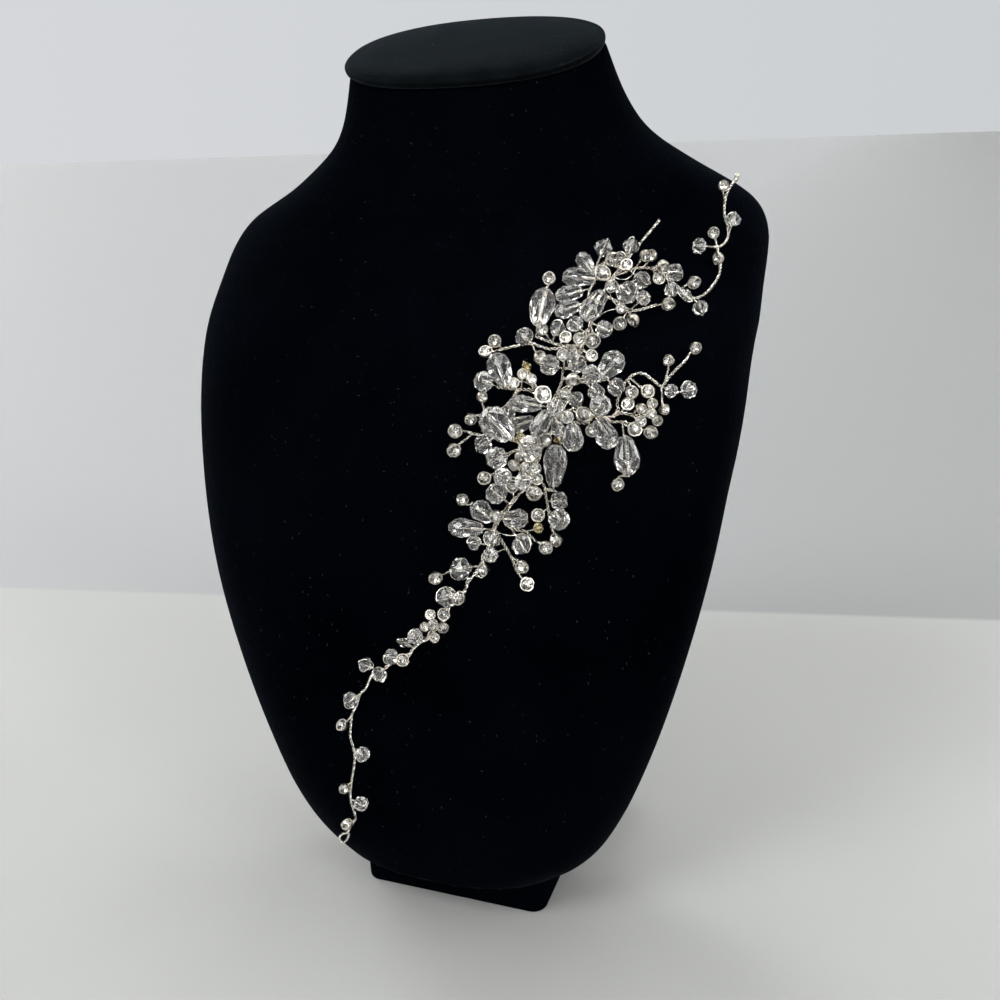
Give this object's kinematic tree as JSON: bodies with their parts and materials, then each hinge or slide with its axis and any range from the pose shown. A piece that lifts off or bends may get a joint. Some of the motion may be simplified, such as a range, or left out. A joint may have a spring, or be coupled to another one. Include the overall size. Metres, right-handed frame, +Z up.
{
  "type": "hair vine on a neck bust",
  "caption": "Hair vine of twisted silver wire with faceted crystals, pear drops and rhinestones in metal cups, draped over a black velvet neck bust on a base block.",
  "frame": {"origin": "middle of the underside of the base block", "axes": "+Z up, -Y the way the bust faces, +X to the right as seen from the front, where the vine's tendril lies"},
  "size_m": [0.1814, 0.134, 0.2739],
  "materials": {
    "black_velvet": "short dark pile with a soft sheen at its edges",
    "silver_wire": "polished silver plate",
    "silver_cup": "polished silver plate",
    "clear_crystal": "clear, cut and polished",
    "amber_crystal": "honey yellow, cut and polished",
    "foiled_rhinestone": "clear, cut, with a bright foil back"
  },
  "bodies": {
    "root": {"velvet_form": "black_velvet", "neck_cap": "black_velvet", "base_block": "black_velvet", "twisted_wires": "silver_wire", "stone_cups": "silver_cup", "rhinestones": "foiled_rhinestone", "round_crystals": "clear_crystal", "bicones": "clear_crystal", "amber_bicones": "amber_crystal", "drop_01": "clear_crystal", "drop_02": "clear_crystal", "drop_03": "clear_crystal", "drop_04": "clear_crystal", "drop_05": "clear_crystal", "drop_06": "clear_crystal", "drop_07": "clear_crystal", "drop_08": "clear_crystal", "drop_09": "clear_crystal", "drop_10": "clear_crystal", "drop_11": "clear_crystal", "drop_12": "clear_crystal", "drop_13": "clear_crystal", "drop_14": "clear_crystal", "drop_15": "clear_crystal", "drop_16": "clear_crystal", "drop_17": "clear_crystal", "drop_18": "clear_crystal", "drop_19": "clear_crystal", "drop_20": "clear_crystal"}
  },
  "joints": []
}
